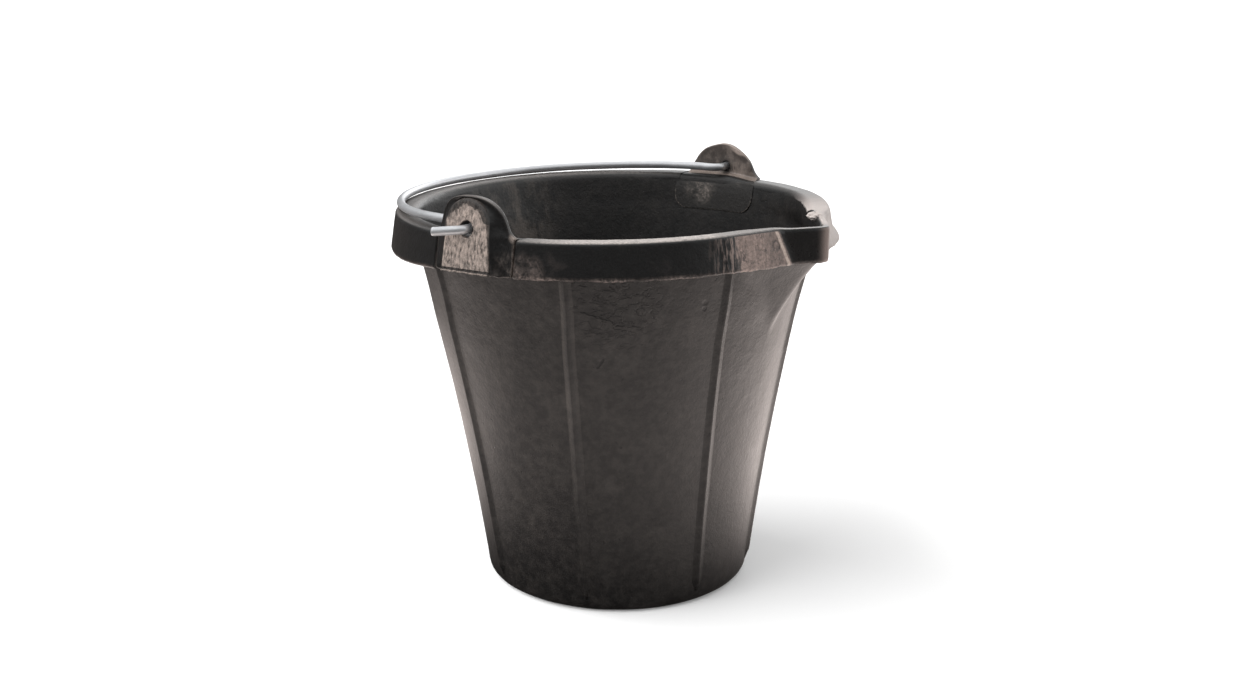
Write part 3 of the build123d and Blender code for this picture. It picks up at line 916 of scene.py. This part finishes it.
ply_width = 0.072
ply_depth = 0.023
ply_gap = 0.004
ply_corner = 0.012
ply_top_corner = 0.002
ply_proud = 0.0003
ply_let_in = 0.0012

ply_black = (0.0040, 0.0038, 0.0037, 1)
ply_dust = (0.105, 0.088, 0.076, 1)


def ply(name, side, material):
    """One patch as rings from its middle out to its outline, front face, step and back face."""
    half, top, bottom = ply_width / 2, -ply_gap, -ply_gap - ply_depth
    corners = [(-half, bottom, ply_corner), (half, bottom, ply_corner),
               (half, top, ply_top_corner), (-half, top, ply_top_corner)]
    outline = rounded_line(corners, step=0.0012, closed=True)[:, :2]
    middle = np.array([0, (top + bottom) / 2])
    steps = [(share, ply_proud, 0) for share in np.linspace(0.02, 0.97, 16)]
    steps += [(0.985, ply_proud * 0.9, 0.5), (1, ply_proud * 0.5, 1), (1.002, 0, 1)]
    steps += [(share, -ply_let_in, 0) for share in (1.002, 0.5, 0.02)]
    rings = []
    for share, proud, edge in steps:
        across, up = (middle + (outline - middle) * share).T
        proud = proud - (ply_proud + 0.0003) * ramp(top - up, 0.009, 0)
        bore = inner_radius(mouth_height + up) - proud + 0.0004 * ramp(up, -0.008, -0.004)
        rings.append(on_mouth(across, up, np.sqrt(bore ** 2 - across ** 2), side))
    edges = np.outer([edge for share, proud, edge in steps], np.ones(len(outline)))
    made = skin(name, np.array(rings), across=True, caps=True, values={"edge": edges}, material=material)
    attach(made, "bucket")
    return made


def ply_rubber():
    """Pressed rubber ply, black like the wall, rubbed brown in places, with a thin pale lower edge."""
    material, shader, place = new_finish("ply_rubber")
    z = place.parts()[2]
    blotch = place.noise(75, 5, 51.0, 0.7)
    grain = place.noise(420, 3, 52.0, 0.6)
    rubs = nearby(place, (-0.0145, 0.1386, 0.2705), 0.017) * blotch.step(0.36, 0.62) * (0.2 + grain * 1.1)
    rubs = rubs * (0.45 + grain.step(0.42, 0.62) * 0.75) + blotch.step(0.60, 0.76) * 0.22
    edge = mark(place, "edge") * z.step(0.272, 0.266)
    edge = edge * (0.45 + z.step(0.262, 0.256) * 0.55) * grain.step(0.35, 0.6)
    dull = (rubs * 0.75 + edge + grain * 0.06).at_most(1)
    roughness = 0.36 + blotch * 0.16 + dull * 0.15
    coat(shader, dull.colours(ply_black, ply_dust), roughness, grain * 0.5 + blotch * 0.6, depth=0.0006)
    return material


ply_coat = ply_rubber()
front_ply = ply("front_ply", -1, ply_coat)
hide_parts("front_ear_patch")
rear_ply = ply("rear_ply", 1, ply_coat)
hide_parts("rear_ear_patch")

# Bail: one length of 6 mm galvanised wire, bent to a half hoop over the rim. Each end passes
# through an ear's hole and is turned over outside, where it was cut.

hinge = Vector(frame["joints"][0]["pos_m"])
wire_radius = 0.003
wire_rounding = 0.0014
wire_waviness = 0.0006
bail_slope = radians(2.4913)
bail_lift = 0.0006
bow_radius = 0.1425
bow_middle = 0.016
bend_radius = 0.009
tail_out = 0.16248
tail_radius = 0.008
tail_turn = 60
tail_length = 0.016
tail_sag = 0.0007
end_rings = np.array([0.012, 0.009, 0.006, 0.0035, 0.0020, 0.0014, 0.0009, 0.0005, 0.0002, 0])

zinc_dull = (0.31, 0.318, 0.332, 1)
zinc_bright = (0.63, 0.638, 0.652, 1)


def bend_points(x, y, radius, start, end, count):
    """Points on a bend about a middle, from one angle to another in degrees."""
    angles = np.radians(np.linspace(start, end, count))
    return np.stack([x + radius * np.cos(angles), y + radius * np.sin(angles)], axis=-1)


def wire_path():
    """Points along half the wire, from the middle of the bow out to the cut end."""
    offset = bow_middle - bend_radius
    bend_y = np.sqrt((bow_radius + bend_radius) ** 2 - offset ** 2)
    bend_turn = np.degrees(np.arctan2(offset, bend_y))
    bow = bend_points(bow_middle, 0, bow_radius, 0, 90 + bend_turn, 80)
    bend = bend_points(bend_radius, bend_y, bend_radius, 270 - bend_turn, 180, 14)[1:]
    straight = np.linspace((0, bend[-1][1]), (0, tail_out), 6)[1:]
    tail = bend_points(tail_radius, tail_out, tail_radius, 180, 180 - tail_turn, 12)[1:]
    way = (sin(radians(tail_turn)), cos(radians(tail_turn)))
    end = tail[-1] + np.outer(tail_length - end_rings, way)
    return np.concatenate([bow, bend, straight, tail, end])


def bail_tree(material, sizes):
    """The wire drawn along its path, a little uneven where it was bent by hand."""
    geometry, size = new_tree("bail_wire", sizes)
    path = geometry.node("GeometryNodeMeshToCurve", {0: geometry})
    place = geometry.node("GeometryNodeInputPosition")
    wave = (place.noise(14, 1, 61.0) - 0.5) * size["Waviness"]
    offset = geometry.node("ShaderNodeCombineXYZ", {2: wave})
    path = geometry.node("GeometryNodeSetPosition", {"Geometry": path, "Offset": offset})
    section = geometry.node("GeometryNodeCurvePrimitiveCircle", {"Resolution": 24,
                                                                 "Radius": size["Wire radius"]})
    share = geometry.node("GeometryNodeSplineParameter")
    from_end = (share.math("PINGPONG", 0.5) * size["Wire length"] / size["Rounding"]).at_most(1)
    round_off = (1 - (1 - from_end) * (1 - from_end)).root()
    taper = 1 - (1 - round_off) * size["Rounding"] / size["Wire radius"]
    wire = geometry.node("GeometryNodeCurveToMesh", {"Curve": path, "Profile Curve": section, "Scale": taper,
                                                     "Fill Caps": True})
    return close_tree(wire, material)


def galvanised():
    """Bright zinc on drawn wire, dulled in patches."""
    material, shader, place = new_finish("galvanised_wire")
    shader.inputs["Metallic"].default_value = 0.80
    cloud = place.noise(55, 4, 71.0, 0.6)
    fine = place.noise(600, 3, 72.0)
    tone = (cloud * 0.7 + fine * 0.4).at_most(1)
    roughness = 0.27 + cloud * 0.16 + (fine - 0.5) * 0.1
    coat(shader, tone.colours(zinc_dull, zinc_bright), roughness, fine * 0.5 + cloud * 0.4, depth=0.0003)
    return material


half_wire = wire_path()
whole_wire = np.concatenate([half_wire[::-1] * (1, -1), half_wire[1:]])
ahead = Vector((-cos(bail_slope), 0, -sin(bail_slope)))
rises = [-tail_sag if abs(p[1]) > tail_out else bail_lift for p in whole_wire]
wire_points = [hinge + ahead * p[0] + Vector((0, -p[1], rise * min(p[0] / bow_middle, 1)))
               for p, rise in zip(whole_wire, rises)]
wire_edges = [(i, i + 1) for i in range(len(wire_points) - 1)]
wire_length = sum((b - a).length for a, b in zip(wire_points, wire_points[1:]))
wire_sizes = {"Wire radius": wire_radius, "Wire length": wire_length, "Rounding": wire_rounding,
              "Waviness": wire_waviness}
wire_mesh = bpy.data.meshes.new("bail_wire")
wire_mesh.from_pydata([tuple(p) for p in wire_points], wire_edges, [])
bail_wire = linked("bail_wire", wire_mesh)
moulded(bail_wire, bail_tree(galvanised(), wire_sizes), wire_sizes)
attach(bail_wire, "bail")
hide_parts("bail")

# Stage: a plain white floor under a wide overhead light, with a large soft box on the left that throws
# a soft shadow to the right. The studio is dark at eye level, and a bounce card on the floor, which
# the camera doesn't see, shapes what the rubber reflects.

camera_place = (0.64170, -0.89345, 0.48057)
camera_turn = radians(35.4)
camera_drop = radians(15.85)
to_right = (cos(camera_turn), sin(camera_turn), 0)
to_back = (-sin(camera_turn), cos(camera_turn), 0)
key_way = Vector((0.602, 0.570, -0.559))
floor_corners = [(-14, -14, 0), (14, -14, 0), (14, 14, 0), (-14, 14, 0)]
floor_grey = (0.60, 0.60, 0.60, 1)
card_line = np.array([(0.02, 0.0004), (12.0, 0.0004)])
card_colour = (1.0, 0.885, 0.835, 1)
white = (1, 1, 1, 1)


def floor_paint():
    """Matt white paint over a faint light from below, as on a light table."""
    material, shader = new_finish("floor_paint")[:2]
    for key, value in (("Specular IOR Level", 0.0), ("Roughness", 1.0), ("Base Color", floor_grey),
                       ("Emission Color", white), ("Emission Strength", 0.15)):
        shader.inputs[key].default_value = value
    return material


def bounce_paint():
    """A glowing card, dim close to the bucket and in front of it, brightest on its right."""
    material, shader, place = new_finish("bounce_paint")
    x, y, z = place.parts()
    reach = (x * x + y * y).root()
    right = place.along(to_right) / reach
    back = place.along(to_back) / reach
    left = right.at_most(0) * -1
    rightwards = right.at_least(0) ** 1.5 * (back * 0.75 + 1) * (1 - back.step(0.45, 0.95) * 0.34)
    ring = (reach - 0.32) / 0.08
    side = 0.98 + rightwards * 2.15 + left * (back + 0.45).at_least(0) * 1.45
    side = side + back.at_least(0) * 0.1 + (ring * ring * -1).math("EXPONENT") * 0.26
    far = reach.step(0.85, 0.33) + back.step(0.25, 0.75) * right.step(-0.1, 0.3) * 0.85
    full = 0.275 + left.step(0, 0.3) * (0.06 + back.step(0.3, 0.9) * 0.06)
    glow = side * (0.06 + reach.step(0.09, full) * 0.94) * (0.06 + far.at_most(1) * 0.94)
    lamp = glow.node("ShaderNodeEmission", {"Strength": glow, "Color": card_colour})
    ending = material.node_tree.nodes["Material Output"]
    material.node_tree.links.new(lamp.socket, ending.inputs["Surface"])
    return material


floor_mesh = bpy.data.meshes.new("floor")
floor_mesh.from_pydata(floor_corners, [], [(0, 1, 2, 3)])
floor_mesh.materials.append(floor_paint())
floor = linked("floor", floor_mesh)

card_turns = np.linspace(0, 2 * pi, 97)[:-1, None]
card = skin("bounce_card", turned(card_line, card_turns), along=True, material=bounce_paint())
card.visible_camera = False
card.visible_diffuse = False
card.visible_shadow = False
card.visible_transmission = False

world = bpy.data.worlds.new("studio")
world.use_nodes = True
bpy.context.scene.world = world
backdrop = world.node_tree.nodes["Background"]
sky = Flow(world.node_tree, world.node_tree.nodes.new("ShaderNodeTexCoord").outputs["Generated"])
sky_up = sky.parts()[2]
sky_right, sky_back, sky_rear = (sky.along(way) for way in (to_right, to_back, (0.0, 1.0, 0.0)))
glow = 0.10 + sky_up.step(0.15, 0.80) * (1.25 - sky_back.step(-0.2, -0.8) * 0.45)
glow = glow + sky_back.step(0.55, 0.95) * sky_right.step(-0.15, 0.10) * sky_up.step(0.04, 0.24) * 2.0
glow = glow + sky_right.step(0.72, 0.97) * sky_up.step(-0.4, 0.1) * 1.6
glow = glow + sky_rear.step(0.80, 0.98) * sky_up.step(-0.2, 0.05) * 1.5
glow = glow + sky_right.step(-0.6, -0.95) * sky_up.step(-0.1, 0.2) * 0.22
backdrop.inputs["Color"].default_value = white
sky.tree.links.new(glow.socket, backdrop.inputs["Strength"])

key = bpy.data.lights.new("key", "SUN")
key.energy = 6.2
key.angle = radians(81)
key_lamp = linked("key", key)
key_lamp.rotation_euler = key_way.to_track_quat("-Z", "Y").to_euler()
key_lamp.visible_glossy = False

lens = bpy.data.cameras.new("camera")
lens.sensor_fit = "HORIZONTAL"
lens.sensor_width = 36
lens.lens = 44.178
lens.dof.use_dof = False
camera = linked("camera", lens)
camera.location = camera_place
camera.rotation_euler = (pi / 2 - camera_drop, 0, camera_turn)
bpy.context.scene.camera = camera

bpy.context.scene.view_settings.view_transform = "Standard"
